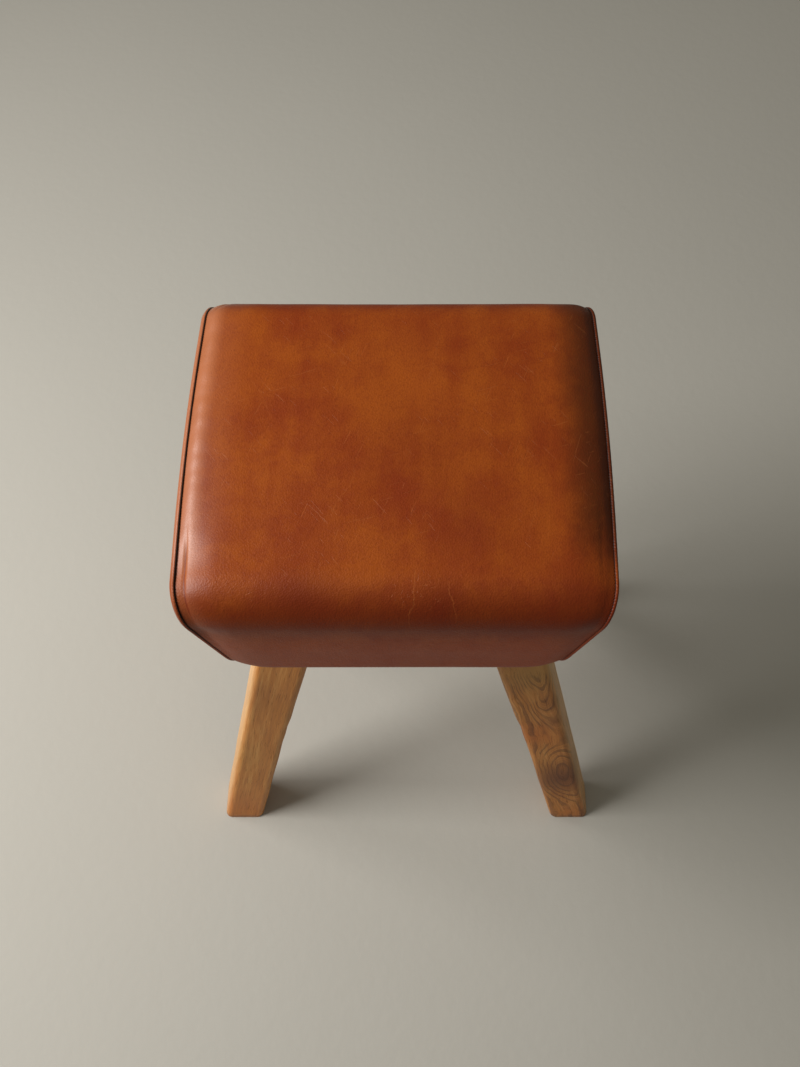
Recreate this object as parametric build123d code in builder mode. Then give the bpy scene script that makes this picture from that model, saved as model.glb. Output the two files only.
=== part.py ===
from build123d import *
from math import cos, radians, sin, tan
import os

# A leather bar stool built like a short vaulting horse.
# A stuffed seat, wider at the top than at the bottom, stands on four splayed wooden legs.
# X runs along the seat from one end panel to the other, Y from front to back, Z up from the floor.

# The seat as a whole
seat_height = 650
seat_depth = 378
seat_thickness = 152
seam_half_length = 205.5
end_lean = 20

# The stuffed shape: how the leather rolls off towards the two end seams
top_crown = 5
end_drop = 10
end_draw_in = 5
face_taper = 4
top_corner_radius = 44
bottom_edge_radius = 20
bottom_corner_radius = 36

# The stuffed shape is drawn with short straight runs, this many along each arc of its side profile
crown_chord_count = 4
corner_chord_count = 5

# Side profiles along half the seat: share of the way out to the seam, share of the roll-off there
roll_off_shares = ((0, 0), (0.75, 0.03), (0.94, 0.31), (1, 1))

# End dome, from its rim to its flat middle: share of the rise, share of the shoulder's width
dome_shares = ((0, 0), (0.6, 0.2), (0.9, 0.55), (1, 1))

# Leather, welt and padding
leather = 2
end_panel_bulge = 6.5
end_panel_shoulder = 16
turn_under = 25
piping_radius = 2.1
piping_tail = 18
piping_sides = 6
soft_gap = 0.3

# The wooden core, set in from the seams and from the front and back of the seat
end_padding = 59.5
side_padding = 39
board_corner_radius = 40
base_board_thickness = 18
rail_thickness = 20
rail_height = 56
top_board_thickness = 12
top_board_overhang = 8
top_board_corner_radius = 30
glue_block_leg = 28
glue_block_height = 45

# Legs, set in from the edges of the core and splayed both ways
leg_inset_x = 10
leg_inset_y = 53
leg_lean_x = 12.4
leg_lean_y = 10
leg_foot_width = 55
leg_top_width = 66
leg_foot_depth = 52
leg_top_depth = 55
leg_knee_height = 185
leg_knee_radius = 260
leg_edge_radius = 9
foot_chamfer = 1.5

# Bolts, screws and their holes are drawn with this many sides
small_round_sides = 8

# Leg fasteners
bolt_radius = 4
bolt_length = 60
bolt_head_width = 13
bolt_head_height = 5.3
bolt_spacing = 24
washer_radius = 8
washer_thickness = 1.6
insert_radius = 6
insert_length = 25
running_gap = 0.2
wood_gap = 0.1

# Wood screws that hold the core together
screw_radius = 2
screw_head_radius = 4
screw_head_height = 2.6
screw_length = 38
screw_spot_share = 0.55

# Dust cover under the seat
dust_cover_thickness = 1
dust_cover_lap = 10
dust_cover_corner_radius = 26
leg_notch_gap = 1.5

# Cutting tools run this far past what they cut
overrun = 5

# Heights and places that follow from the sizes above
underside = seat_height - seat_thickness
board_underside = underside + leather
leg_top = board_underside
board_half_length = seam_half_length - end_padding
board_half_depth = seat_depth / 2 - side_padding
rail_foot = board_underside + base_board_thickness
rail_top = rail_foot + rail_height
core_top = rail_top + top_board_thickness
seam_foot = seam_half_length - (seat_thickness - end_drop) * tan(radians(end_lean))
opening_half_depth = seat_depth / 2 - face_taper - bottom_edge_radius - turn_under
seam_setback = piping_radius + running_gap
end_bottom_half_depth = seat_depth / 2 - end_draw_in - face_taper - bottom_corner_radius
flap_half_depth = end_bottom_half_depth - piping_tail - soft_gap
flap_width = turn_under + seam_setback / cos(radians(end_lean)) + leather / 2
rail_inner_x = board_half_length - rail_thickness
rail_inner_y = board_half_depth - rail_thickness
top_board_half_length = board_half_length + top_board_overhang
top_board_half_depth = board_half_depth + top_board_overhang
board_underside_plane = Plane.XY.offset(board_underside).rotated((180, 0, 0))


# A side profile's plane leans outwards like the end panels, the more the nearer it is to the seam.
# Beyond the seam it can stand out from the seam plane by rise.
def profile_plane(place_share, rise=0):
    lean = radians(end_lean * place_share)
    foot = (seam_foot * place_share, 0, underside)
    plane = Plane(origin=foot, x_dir=(0, 1, 0), z_dir=(cos(lean), 0, -sin(lean)))
    return plane.offset(rise)


# The outline of the seat seen from its end, drawn in all round by inset
def round_profile(place_share, roll_share, inset):
    lean = radians(end_lean * place_share)
    top = (seat_thickness - end_drop * roll_share) / cos(lean) - inset
    shoulder = top - top_crown
    half_top = seat_depth / 2 - end_draw_in * roll_share - inset
    half_bottom = half_top - face_taper
    rounding = bottom_corner_radius - bottom_edge_radius
    bottom_radius = bottom_edge_radius + rounding * place_share**2
    with BuildSketch(profile_plane(place_share)) as profile:
        with BuildLine():
            Line((-half_top, shoulder), (-half_bottom, inset))
            Line((-half_bottom, inset), (half_bottom, inset))
            Line((half_bottom, inset), (half_top, shoulder))
            ThreePointArc((half_top, shoulder), (0, top), (-half_top, shoulder))
        make_face()
        fillet(vertices().group_by(Axis.Y)[-1], radius=top_corner_radius - inset)
        fillet(vertices().group_by(Axis.Y)[0], radius=bottom_radius - inset)
    return profile


# The same outline in short straight runs
def side_profile(place_share, roll_share, inset, rise=0):
    rounded = round_profile(place_share, roll_share, inset).sketch_local.face().outer_wire()
    corners = []
    for edge in rounded.order_edges():
        if edge.geom_type == GeomType.LINE:
            chords = 1
        else:
            on_top = edge.length > seat_depth / 2
            chords = crown_chord_count if on_top else corner_chord_count
        corners += [edge @ (step / chords) for step in range(chords)]
    with BuildSketch(profile_plane(place_share, rise)) as profile:
        with BuildLine():
            Polyline(*corners, close=True)
        make_face()
    return profile.sketch


# The stuffed shape from seam to seam, drawn in all round by inset
def stuffed_body(inset):
    left_half = [side_profile(-place, roll, inset) for place, roll in roll_off_shares[:0:-1]]
    right_half = [side_profile(place, roll, inset) for place, roll in roll_off_shares]
    with BuildPart() as body:
        loft(sections=left_half + right_half, ruled=True)
    return body.part


# The pillow-shaped end that stands out from the right seam plane, drawn in all round by inset.
# Its rim stands off the seam plane by rim_rise.
def end_dome(inset, rim_rise):
    rise = end_panel_bulge - inset - rim_rise
    slices = [
        side_profile(
            1, 1, inset + shoulder_share * end_panel_shoulder, rim_rise + rise_share * rise
        )
        for rise_share, shoulder_share in dome_shares
    ]
    with BuildPart() as dome:
        loft(sections=slices, ruled=True)
    return dome.part


# The welt cord in the right end seam: up the front, over the top and down the back.
# Both ends turn under the seat and run on along the bottom for the length of a tail.
def welt(radius):
    outline = round_profile(1, 1, 0).sketch.face().outer_wire().edges().sort_by(Axis.Z)
    bottom = outline[0]
    tail_share = piping_tail / bottom.length
    tails = [bottom.trim(0, tail_share), bottom.trim(1 - tail_share, 1)]
    path = Wire(outline[1:] + tails)
    with BuildPart() as cord:
        with BuildSketch(Plane(origin=path @ 0, z_dir=path % 0)):
            RegularPolygon(radius, side_count=piping_sides)
        sweep(path=path)
    return cord.part


# The outline of a small round rod, or of the hole it sits in
def small_round(radius, mode=Mode.ADD):
    RegularPolygon(radius, side_count=small_round_sides, mode=mode)


# A countersunk wood screw that hangs down from its head, grown all round by gap
def wood_screw(gap):
    with BuildPart() as screw:
        with BuildSketch():
            small_round(screw_head_radius + gap)
        extrude(amount=-screw_head_height)
        rim = screw.faces().sort_by(Axis.Z)[0].edges()
        chamfer(rim, length=screw_head_radius - screw_radius)
        with BuildSketch():
            small_round(screw_radius + gap)
        extrude(amount=-screw_length)
    return screw.part


# A leg's faces at a height above the floor, measured outwards from the stool's middle
def leg_outer_x(height):
    return board_half_length - leg_inset_x + (leg_top - height) * tan(radians(leg_lean_x))


def leg_outer_y(height):
    return board_half_depth - leg_inset_y + (leg_top - height) * tan(radians(leg_lean_y))


def leg_centre(height):
    up_share = height / leg_top
    width = leg_foot_width + (leg_top_width - leg_foot_width) * up_share
    depth = leg_foot_depth + (leg_top_depth - leg_foot_depth) * up_share
    return leg_outer_x(height) - width / 2, leg_outer_y(height) - depth / 2


leg_mid_x, leg_mid_y = leg_centre(leg_top - insert_length)
bolt_spots = [
    (side * leg_mid_x, end * leg_mid_y + row * bolt_spacing / 2)
    for side in (-1, 1)
    for end in (-1, 1)
    for row in (-1, 1)
]
long_rail_y = board_half_depth - rail_thickness / 2
short_rail_x = board_half_length - rail_thickness / 2
long_rail_spots = [
    (side * board_half_length * screw_spot_share, end * long_rail_y)
    for side in (-1, 1)
    for end in (-1, 1)
]
screw_spots = long_rail_spots + [(short_rail_x, 0), (-short_rail_x, 0)]


# Four rectangles where the legs pass the leather and the dust cover
def leg_notches():
    depth = leg_top_depth + 2 * leg_notch_gap
    width = leg_top_width + 2 * leg_notch_gap
    x = leg_outer_x(underside) - leg_top_width / 2
    y = leg_outer_y(underside) - leg_top_depth / 2
    with BuildPart() as notches:
        with BuildSketch(Plane.XY.offset(underside - overrun)):
            with GridLocations(2 * x, 2 * y, 2, 2):
                Rectangle(width, depth)
        extrude(amount=2 * overrun)
    return notches.part


# The main leather panel runs up the front, over the top and down the back.
# It turns under the front and back edges, and the middle of the bottom is open.
# At both ends it stops just short of the piping.
with BuildPart() as leather_main_panel:
    add(stuffed_body(0))
    add(stuffed_body(leather), mode=Mode.SUBTRACT)
    with BuildSketch(Plane.XY.offset(underside - overrun)):
        Rectangle(2 * seam_half_length, 2 * opening_half_depth)
    extrude(amount=2 * overrun + leather, mode=Mode.SUBTRACT)
    split(bisect_by=profile_plane(1, -seam_setback), keep=Keep.BOTTOM)
    split(bisect_by=profile_plane(-1, seam_setback), keep=Keep.TOP)

# Each end panel is a shallow leather dome with a flap that turns under the seat
with BuildPart() as right_end_panel:
    add(end_dome(0, seam_setback))
    add(end_dome(leather, seam_setback), mode=Mode.SUBTRACT)
    with BuildSketch(Plane.XY.offset(underside)):
        with Locations((seam_foot - turn_under, 0)):
            Rectangle(flap_width, 2 * flap_half_depth, align=(Align.MIN, Align.CENTER))
    extrude(amount=leather)
    add(leg_notches(), mode=Mode.SUBTRACT)

with BuildPart() as left_end_panel:
    mirror(right_end_panel.part, about=Plane.YZ)

# Piping in both end seams
with BuildPart() as right_piping:
    add(welt(piping_radius))

with BuildPart() as left_piping:
    mirror(right_piping.part, about=Plane.YZ)

# Countersunk screws go through both boards into the rails
with BuildPart() as core_screws:
    with Locations(Plane.XY.offset(core_top), board_underside_plane):
        with Locations(*screw_spots):
            add(wood_screw(0))

with BuildPart() as screw_holes:
    with Locations(Plane.XY.offset(core_top), board_underside_plane):
        with Locations(*screw_spots):
            add(wood_screw(wood_gap))

# The base board closes the bottom of the core and carries the legs
with BuildPart() as base_board:
    with BuildSketch(Plane.XY.offset(board_underside)):
        RectangleRounded(2 * board_half_length, 2 * board_half_depth, board_corner_radius)
        with Locations(*bolt_spots):
            small_round(bolt_radius + running_gap, Mode.SUBTRACT)
    extrude(amount=base_board_thickness)
    add(screw_holes.part, mode=Mode.SUBTRACT)

# Rails stand on edge round the base board, the long pair across the ends of the short pair
with BuildPart() as back_rail:
    with BuildSketch(Plane.XY.offset(rail_foot)):
        RectangleRounded(2 * board_half_length, 2 * board_half_depth, board_corner_radius)
        with Locations((0, long_rail_y)):
            Rectangle(2 * board_half_length, rail_thickness, mode=Mode.INTERSECT)
    extrude(amount=rail_height)
    add(screw_holes.part, mode=Mode.SUBTRACT)

with BuildPart() as front_rail:
    mirror(back_rail.part, about=Plane.XZ)

with BuildPart() as right_rail:
    with BuildSketch(Plane.XY.offset(rail_foot)):
        RectangleRounded(2 * board_half_length, 2 * board_half_depth, board_corner_radius)
        with Locations((short_rail_x, 0)):
            Rectangle(rail_thickness, 2 * rail_inner_y, mode=Mode.INTERSECT)
    extrude(amount=rail_height)
    add(screw_holes.part, mode=Mode.SUBTRACT)

with BuildPart() as left_rail:
    mirror(right_rail.part, about=Plane.YZ)

# Triangular blocks glued into the four corners between the rails
with BuildPart() as glue_blocks:
    with BuildSketch(Plane.XY.offset(rail_foot)):
        with BuildLine():
            corner = (rail_inner_x, rail_inner_y)
            along_x = (rail_inner_x - glue_block_leg, rail_inner_y)
            along_y = (rail_inner_x, rail_inner_y - glue_block_leg)
            Polyline(corner, along_x, along_y, close=True)
        make_face()
        mirror(about=Plane.YZ)
        mirror(about=Plane.XZ)
    extrude(amount=glue_block_height)

# The top board carries the seat foam
with BuildPart() as top_board:
    with BuildSketch(Plane.XY.offset(rail_top)):
        RectangleRounded(
            2 * top_board_half_length, 2 * top_board_half_depth, top_board_corner_radius
        )
    extrude(amount=top_board_thickness)
    add(screw_holes.part, mode=Mode.SUBTRACT)

# Foam padding between the leather and the core, cut into a seat block and four side pads
with BuildPart() as padding:
    add(stuffed_body(leather + soft_gap))
    with BuildSketch(Plane.XY.offset(underside)):
        RectangleRounded(
            2 * (board_half_length + soft_gap),
            2 * (board_half_depth + soft_gap),
            board_corner_radius,
        )
    extrude(amount=rail_top - underside, mode=Mode.SUBTRACT)
    with BuildSketch(Plane.XY.offset(rail_top)):
        RectangleRounded(
            2 * (top_board_half_length + soft_gap),
            2 * (top_board_half_depth + soft_gap),
            top_board_corner_radius,
        )
    extrude(amount=top_board_thickness, mode=Mode.SUBTRACT)

with BuildPart() as seat_foam:
    add(padding.part)
    split(bisect_by=Plane.XY.offset(core_top), keep=Keep.TOP)

with BuildPart() as back_foam:
    add(padding.part)
    split(bisect_by=Plane.XY.offset(core_top), keep=Keep.BOTTOM)
    split(bisect_by=Plane.XZ.offset(-board_half_depth), keep=Keep.BOTTOM)

with BuildPart() as front_foam:
    mirror(back_foam.part, about=Plane.XZ)

with BuildPart() as right_foam:
    add(padding.part)
    split(bisect_by=Plane.XY.offset(core_top), keep=Keep.BOTTOM)
    split(bisect_by=Plane.XZ.offset(-board_half_depth), keep=Keep.TOP)
    split(bisect_by=Plane.XZ.offset(board_half_depth), keep=Keep.BOTTOM)
    split(bisect_by=Plane.YZ, keep=Keep.TOP)
    add(end_dome(leather + soft_gap, 0))

with BuildPart() as left_foam:
    mirror(right_foam.part, about=Plane.YZ)

# Each leg is sawn to a front outline and a side outline, then its long edges are rounded.
# The inner face is straight up to the knee and flares from there to the seat.
with BuildPart() as back_right_leg:
    with BuildSketch(Plane.XZ) as front_outline:
        with BuildLine():
            Polyline(
                (leg_outer_x(0), 0),
                (leg_outer_x(leg_top), leg_top),
                (leg_outer_x(leg_top) - leg_top_width, leg_top),
                (leg_outer_x(leg_knee_height) - leg_foot_width, leg_knee_height),
                (leg_outer_x(0) - leg_foot_width, 0),
                close=True,
            )
        make_face()
        knee = front_outline.vertices().group_by(Axis.Y)[1]
        fillet(knee, radius=leg_knee_radius)
    extrude(amount=leg_outer_y(0) + overrun, both=True)
    with BuildSketch(Plane.YZ):
        with BuildLine():
            Polyline(
                (leg_outer_y(0), 0),
                (leg_outer_y(leg_top), leg_top),
                (leg_outer_y(leg_top) - leg_top_depth, leg_top),
                (leg_outer_y(0) - leg_foot_depth, 0),
                close=True,
            )
        make_face()
    extrude(amount=leg_outer_x(0) + overrun, both=True, mode=Mode.INTERSECT)
    long_edges = back_right_leg.edges().filter_by(lambda edge: edge.bounding_box().size.Z > overrun)
    fillet(long_edges, radius=leg_edge_radius)
    chamfer(back_right_leg.faces().sort_by(Axis.Z)[0].edges(), length=foot_chamfer)
    with BuildSketch(Plane.XY.offset(leg_top)):
        with Locations(*bolt_spots):
            small_round(insert_radius + wood_gap)
    extrude(amount=-insert_length, mode=Mode.SUBTRACT)
    with BuildSketch(Plane.XY.offset(leg_top)):
        with Locations(*bolt_spots):
            small_round(bolt_radius + running_gap)
    extrude(amount=-bolt_length, mode=Mode.SUBTRACT)

with BuildPart() as back_left_leg:
    mirror(back_right_leg.part, about=Plane.YZ)

with BuildPart() as front_right_leg:
    mirror(back_right_leg.part, about=Plane.XZ)

with BuildPart() as front_left_leg:
    mirror(front_right_leg.part, about=Plane.YZ)

# Two bolts a leg go down through washers and the base board into threaded inserts
with BuildPart() as leg_bolts:
    with BuildSketch(Plane.XY.offset(rail_foot + washer_thickness)):
        with Locations(*bolt_spots):
            RegularPolygon(bolt_head_width / 2, side_count=6, major_radius=False)
    extrude(amount=bolt_head_height)
    with BuildSketch(Plane.XY.offset(rail_foot + washer_thickness)):
        with Locations(*bolt_spots):
            small_round(bolt_radius)
    extrude(amount=-bolt_length)

with BuildPart() as bolt_washers:
    with BuildSketch(Plane.XY.offset(rail_foot)):
        with Locations(*bolt_spots):
            small_round(washer_radius)
            small_round(bolt_radius + running_gap, Mode.SUBTRACT)
    extrude(amount=washer_thickness)

with BuildPart() as leg_inserts:
    with BuildSketch(Plane.XY.offset(leg_top)):
        with Locations(*bolt_spots):
            small_round(insert_radius)
            small_round(bolt_radius + running_gap, Mode.SUBTRACT)
    extrude(amount=-insert_length)

# Dust cover, stretched over the leather's turned-under edges, with notches for the legs
with BuildPart() as dust_cover:
    with BuildSketch(Plane.XY.offset(underside)):
        RectangleRounded(
            2 * (seam_foot - turn_under + dust_cover_lap),
            2 * (opening_half_depth + dust_cover_lap),
            dust_cover_corner_radius,
        )
    extrude(amount=-dust_cover_thickness)
    add(leg_notches(), mode=Mode.SUBTRACT)

pieces = {
    "leather_main_panel": leather_main_panel,
    "left_end_panel": left_end_panel,
    "right_end_panel": right_end_panel,
    "left_piping": left_piping,
    "right_piping": right_piping,
    "seat_foam": seat_foam,
    "front_foam": front_foam,
    "back_foam": back_foam,
    "left_foam": left_foam,
    "right_foam": right_foam,
    "top_board": top_board,
    "base_board": base_board,
    "front_rail": front_rail,
    "back_rail": back_rail,
    "left_rail": left_rail,
    "right_rail": right_rail,
    "glue_blocks": glue_blocks,
    "core_screws": core_screws,
    "dust_cover": dust_cover,
    "front_left_leg": front_left_leg,
    "front_right_leg": front_right_leg,
    "back_left_leg": back_left_leg,
    "back_right_leg": back_right_leg,
    "leg_bolts": leg_bolts,
    "bolt_washers": bolt_washers,
    "leg_inserts": leg_inserts,
}
os.makedirs("parts", exist_ok=True)
for name, piece in pieces.items():
    piece.part.label = name
    export_step(piece.part, f"parts/{name}.step")
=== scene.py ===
import math

import bmesh
import bpy
import numpy as np
from mathutils import Matrix, Vector, noise


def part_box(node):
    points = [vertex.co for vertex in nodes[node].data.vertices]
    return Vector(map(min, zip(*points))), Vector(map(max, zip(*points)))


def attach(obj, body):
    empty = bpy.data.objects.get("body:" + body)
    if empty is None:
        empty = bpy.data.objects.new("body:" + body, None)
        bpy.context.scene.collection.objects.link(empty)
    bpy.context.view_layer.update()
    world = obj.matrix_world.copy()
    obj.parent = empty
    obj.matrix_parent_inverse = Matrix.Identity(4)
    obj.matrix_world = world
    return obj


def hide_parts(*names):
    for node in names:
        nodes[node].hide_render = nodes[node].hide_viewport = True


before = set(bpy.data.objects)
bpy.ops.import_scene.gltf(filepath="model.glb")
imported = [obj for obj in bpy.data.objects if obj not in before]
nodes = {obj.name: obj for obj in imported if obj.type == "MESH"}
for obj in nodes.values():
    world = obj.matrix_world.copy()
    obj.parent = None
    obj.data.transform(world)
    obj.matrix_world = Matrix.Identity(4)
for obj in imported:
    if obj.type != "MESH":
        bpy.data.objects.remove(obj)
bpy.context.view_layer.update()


# The room and the camera
# A plain pale floor, a large soft lamp at the left, a weaker one behind it and a little light all round.
# The camera looks steeply down at the seat's front.
floor_colour = (0.445, 0.43, 0.385, 1)
floor_pale = (0.475, 0.458, 0.41, 1)
floor_reach = 14

camera_data = bpy.data.cameras.new("camera")
camera_data.lens = 40.49
camera_data.sensor_width = 36
camera_data.shift_x = -0.0281
camera = bpy.data.objects.new("camera", camera_data)
camera.location = (0.032, -0.6625, 1.612)
camera.rotation_euler = (math.radians(29.8), 0, 0)
bpy.context.scene.collection.objects.link(camera)
bpy.context.scene.camera = camera

world = bpy.data.worlds.new("room")
world.use_nodes = True
world.node_tree.nodes["Background"].inputs["Color"].default_value = (1, 0.96, 0.82, 1)
world.node_tree.nodes["Background"].inputs["Strength"].default_value = 0.195
bpy.context.scene.world = world
bpy.context.scene.view_settings.view_transform = "Standard"


def soft_lamp(name, place, aim, size, power, colour):
    """A square lamp at that place, turned to face the point it aims at."""
    data = bpy.data.lights.new(name, "AREA")
    data.shape = "RECTANGLE"
    data.size, data.size_y = size
    data.energy = power
    data.color = colour
    lamp = bpy.data.objects.new(name, data)
    lamp.location = place
    lamp.rotation_euler = (Vector(aim) - Vector(place)).to_track_quat("-Z", "Y").to_euler()
    bpy.context.scene.collection.objects.link(lamp)


soft_lamp("window", (-1.70, -0.24, 1.98), (0, 0, 0.45), (1.0, 1.0), 54, (1, 0.98, 0.955))
soft_lamp("pale_wall", (-1.78, 0.66, 1.95), (0, 0, 0.6), (0.9, 0.9), 15, (1, 0.97, 0.955))


class Value:
    """One value in a finish. Plain arithmetic on it adds the finish's maths nodes."""

    def __init__(self, finish, socket):
        self.finish, self.socket = finish, socket

    def maths(self, operation, *values):
        inputs = dict(zip(("Value", "Value_001"), values))
        return self.finish.node("ShaderNodeMath", {"operation": operation}, inputs)

    def __add__(self, other):
        return self.maths("ADD", self, other)

    def __radd__(self, other):
        return self.maths("ADD", other, self)

    def __sub__(self, other):
        return self.maths("SUBTRACT", self, other)

    def __rsub__(self, other):
        return self.maths("SUBTRACT", other, self)

    def __mul__(self, other):
        return self.maths("MULTIPLY", self, other)

    def __rmul__(self, other):
        return self.maths("MULTIPLY", other, self)

    def __pow__(self, other):
        return self.maths("POWER", self, other)

    def __abs__(self):
        return self.maths("ABSOLUTE", self)

    def sine(self):
        return self.maths("SINE", self)

    def between(self, low, high):
        """0 at low, 1 at high and a soft step between them."""
        inputs = {"Value": self, "From Min": low, "From Max": high}
        settings = {"interpolation_type": "SMOOTHSTEP"}
        return self.finish.node("ShaderNodeMapRange", settings, inputs, "Result")


class Finish:
    """A material with one Principled shader, patterned by the piece's own place."""

    def __init__(self, name, roughness=0.5, **uniform):
        self.material = bpy.data.materials.new(name)
        self.material.use_nodes = True
        self.tree = self.material.node_tree
        self.shader = self.tree.nodes["Principled BSDF"]
        self.shader.inputs["Roughness"].default_value = roughness
        for socket, value in uniform.items():
            self.shader.inputs[socket.replace("_", " ")].default_value = value
        self.place = self.node("ShaderNodeTexCoord", {}, {}, "Object")

    def node(self, kind, settings, inputs, output=None):
        """A node of that kind with its settings and its inputs, as the value of one output."""
        made = self.tree.nodes.new(kind)
        stops = settings.get("stops", ())
        for name, value in settings.items():
            if name != "stops":
                setattr(made, name, value)
        for k, (place, colour) in enumerate(stops):
            stop = made.color_ramp.elements[k] if k < 2 else made.color_ramp.elements.new(place)
            stop.position, stop.color = place, colour
        sockets = {socket.identifier: socket for socket in made.inputs}
        for name, value in inputs.items():
            if isinstance(value, Value):
                self.tree.links.new(value.socket, sockets[name])
            else:
                sockets[name].default_value = value
        outputs = {socket.identifier: socket for socket in made.outputs}
        return Value(self, outputs[output] if output else made.outputs[0])

    def noise(self, vector, scale, detail=2.0, roughness=0.5, distortion=0.0):
        inputs = {
            "Vector": vector, "Scale": scale, "Detail": detail,
            "Roughness": roughness, "Distortion": distortion,
        }
        return self.node("ShaderNodeTexNoise", {}, inputs, "Fac")

    def stretched(self, vector, scale, turn=(0, 0, 0)):
        """The vector turned, then stretched where its scale is small."""
        turned = self.node("ShaderNodeMapping", {}, {"Vector": vector, "Rotation": turn})
        return self.node("ShaderNodeMapping", {}, {"Vector": turned, "Scale": scale})

    def split(self, vector):
        """The vector's three parts."""
        first = self.node("ShaderNodeSeparateXYZ", {}, {"Vector": vector}, "X")
        parts = first.socket.node.outputs
        return first, Value(self, parts["Y"]), Value(self, parts["Z"])

    def far_from(self, vector, spot):
        """How far the vector is from that spot."""
        inputs = {"Vector": vector, "Vector_001": spot}
        return self.node("ShaderNodeVectorMath", {"operation": "DISTANCE"}, inputs, "Value")

    def blend(self, share, first, second):
        """The first colour, with that share of the second laid over it."""
        inputs = {"Factor_Float": share, "A_Color": first, "B_Color": second}
        return self.node("ShaderNodeMix", {"data_type": "RGBA"}, inputs, "Result_Color")

    def show(self, colour=None, roughness=None, height=None, depth=0.001, strength=1.0, coat=None):
        """Give the shader its varying values. The height becomes a relief of that depth in metres."""
        wanted = {"Base Color": colour, "Roughness": roughness, "Coat Weight": coat}
        if height is not None:
            inputs = {"Height": height, "Distance": depth, "Strength": strength}
            wanted["Normal"] = self.node("ShaderNodeBump", {}, inputs)
        for name, value in wanted.items():
            if value is not None:
                self.tree.links.new(value.socket, self.shader.inputs[name])


floor_finish = Finish("floor_plaster", roughness=0.75)
floor_finish.show(
    floor_finish.blend(floor_finish.noise(floor_finish.place, 1.6, 4), floor_colour, floor_pale),
    None,
    floor_finish.noise(floor_finish.place, 60, 3),
    0.0004,
)
floor_form = bmesh.new()
bmesh.ops.create_grid(floor_form, x_segments=1, y_segments=1, size=floor_reach)
floor_mesh = bpy.data.meshes.new("floor")
floor_form.to_mesh(floor_mesh)
floor_form.free()
floor = bpy.data.objects.new("floor", floor_mesh)
floor_mesh.materials.append(floor_finish.material)
bpy.context.scene.collection.objects.link(floor)


# The four legs
# Solid hardwood, sawn to a splayed outline with a soft knee, edges rounded over by hand, then oiled.
# Each leg is cut from another board, so the grain runs differently in each.
leg_lean_x, leg_lean_y = math.radians(12.4), math.radians(10)
foot_outer, foot_width, knee_height = 0.2459, 0.055, 0.245
foot_slimming = 0.0042
# A nick under the knee: how deep it is, how far below the knee and how tall
nick_depth, nick_drop, nick_reach = 0.0011, 0.020, 0.012
# The faces are uneven by this much, in waves of this many to the metre, but flat at the floor and the board
unevenness, waves_across, waves_along = 0.0007, 30, 16
uneven_from, uneven_until = (0, 0.03), (0.46, 0.48)
# The blank's skin is cut in strips this wide across, along and up, and points this close are joined
cut_steps = (0.008, 0.008, 0.009)
merge_distance = 0.00002


def linear(red, green, blue):
    """A colour given as screen values from 0 to 255."""
    def one(value):
        value /= 255
        return value / 12.92 if value <= 0.04045 else ((value + 0.055) / 1.055) ** 2.4
    return (one(red), one(green), one(blue), 1)


leg_pale = linear(226, 172, 102)
leg_mid = linear(196, 127, 56)
leg_dark = linear(150, 90, 42)
leg_vein = linear(92, 50, 24)
leg_gold = linear(186, 138, 68)
leg_orange = linear(196, 112, 44)
leg_brown = linear(108, 56, 28)
leg_wear_and_highlight = linear(240, 204, 152)
# The pattern's scales
bend_scale, wander_scale, vein_scale = 13.0, 40, 20
fibre_scale, streak_scale, pore_scale = 520, 120, 800
fine_rings, ring_taper = 3.3, 0.03
# The outer edges are painted pale, partly as wear and partly as a painted highlight, from the first of these
# distances to the second
pale_edge_from, pale_edge_to = 0.231, 0.240
# Name: side, end, where the board's heart lies across the leg, ring width, swirl, share of figure,
# knots: centre, reach across, how much taller than wide and how far they push the rings,
# and patches of another tone: centre, reach, share, colour
leg_boards = {
    "front_left_leg": (-1, -1, (-0.30, 0.12), 0.0050, 0.002, 0.12, (), (
        ((-0.23, -0.18, 0.02), 0.075, 0.55, leg_orange),
        ((-0.175, -0.14, 0.30), 0.060, 0.25, leg_brown),
        ((-0.205, -0.16, 0.17), 0.050, 0.35, leg_gold),
    )),
    "front_right_leg": (1, -1, (0.035, 0.03), 0.0105, 0.0085, 0.72, (
        ((0.200, -0.163, 0.123), 0.032, 3.0, 0.048),
        ((0.143, -0.118, 0.395), 0.036, 6.0, 0.066),
    ), (
        ((0.203, -0.165, 0.108), 0.062, 0.85, leg_brown),
        ((0.155, -0.14, 0.215), 0.050, 0.85, leg_orange),
        ((0.150, -0.12, 0.350), 0.055, 0.80, leg_gold),
        ((0.183, -0.14, 0.245), 0.022, 0.60, leg_brown),
        ((0.177, -0.13, 0.285), 0.020, 0.60, leg_brown),
        ((0.225, -0.18, 0.010), 0.035, 0.60, leg_orange),
    )),
    "back_left_leg": (-1, 1, (0.14, 0.2), 0.0055, 0.006, 0.3, (), ()),
    "back_right_leg": (1, 1, (-0.11, 0.16), 0.0070, 0.007, 0.5, (
        ((0.21, 0.17, 0.2), 0.040, 2.5, 0.040),
    ), ()),
}


def add_piece(name, form, finish, *replaced, slot=None, fill=None, smooth_up_to=180):
    """A finished piece from its form. Edges sharper than smooth_up_to degrees stay crisp."""
    mesh = bpy.data.meshes.new(name)
    form.to_mesh(mesh)
    form.free()
    mesh.polygons.foreach_set("use_smooth", [True] * len(mesh.polygons))
    mesh.set_sharp_from_angle(angle=math.radians(smooth_up_to))
    mesh.materials.append(finish.material)
    piece = bpy.data.objects.new(name, mesh)
    bpy.context.scene.collection.objects.link(piece)
    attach(piece, "root")
    if replaced:
        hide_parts(*replaced)
    return piece


def held(value, low=0, high=1):
    """The value, but not below low nor above high."""
    return max(low, min(high, value))


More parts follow.
